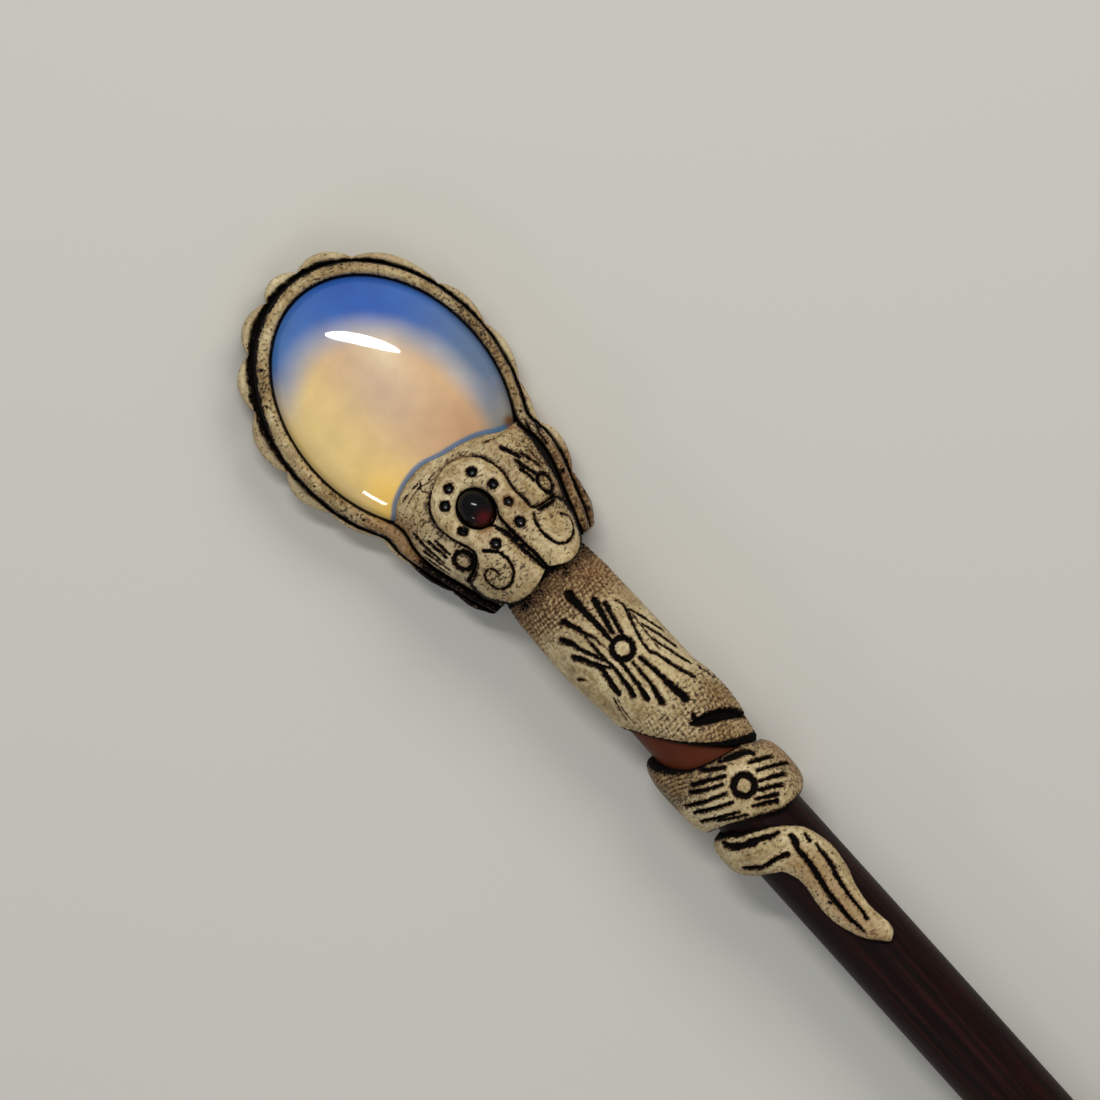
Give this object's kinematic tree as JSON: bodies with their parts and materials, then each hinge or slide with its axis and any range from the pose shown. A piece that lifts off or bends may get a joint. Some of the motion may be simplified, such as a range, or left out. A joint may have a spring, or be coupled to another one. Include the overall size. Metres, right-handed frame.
{
  "type": "hair stick",
  "caption": "Round tapering wooden hair stick with an oval glass stone at one end, held by a scalloped, modelled clay setting with a small garnet, a neck sleeve and a coil wound round the stick.",
  "frame": {"origin": "on the resting surface, the plane of the setting's flat back, below the middle of the oval stone", "axes": "+X along the stick from the stone to the tip, +Z from the resting surface up through the stone, +Y across the stick by the right-hand rule"},
  "size_m": [0.1904, 0.0262, 0.0124],
  "materials": {
    "wood": "satin, dark red-brown rosewood",
    "stone_glass": "polished milky glass, blue to amber",
    "clay": "satin polymer clay in aged ivory with dark grooves",
    "garnet_stone": "polished, nearly black red"
  },
  "bodies": {
    "root": {"stick": "wood", "stone": "stone_glass", "scalloped_rim": "clay", "bezel_bead": "clay", "hood": "clay", "crest": "clay", "garnet": "garnet_stone", "neck_wrap": "clay", "coil_tail": "clay"}
  },
  "joints": []
}
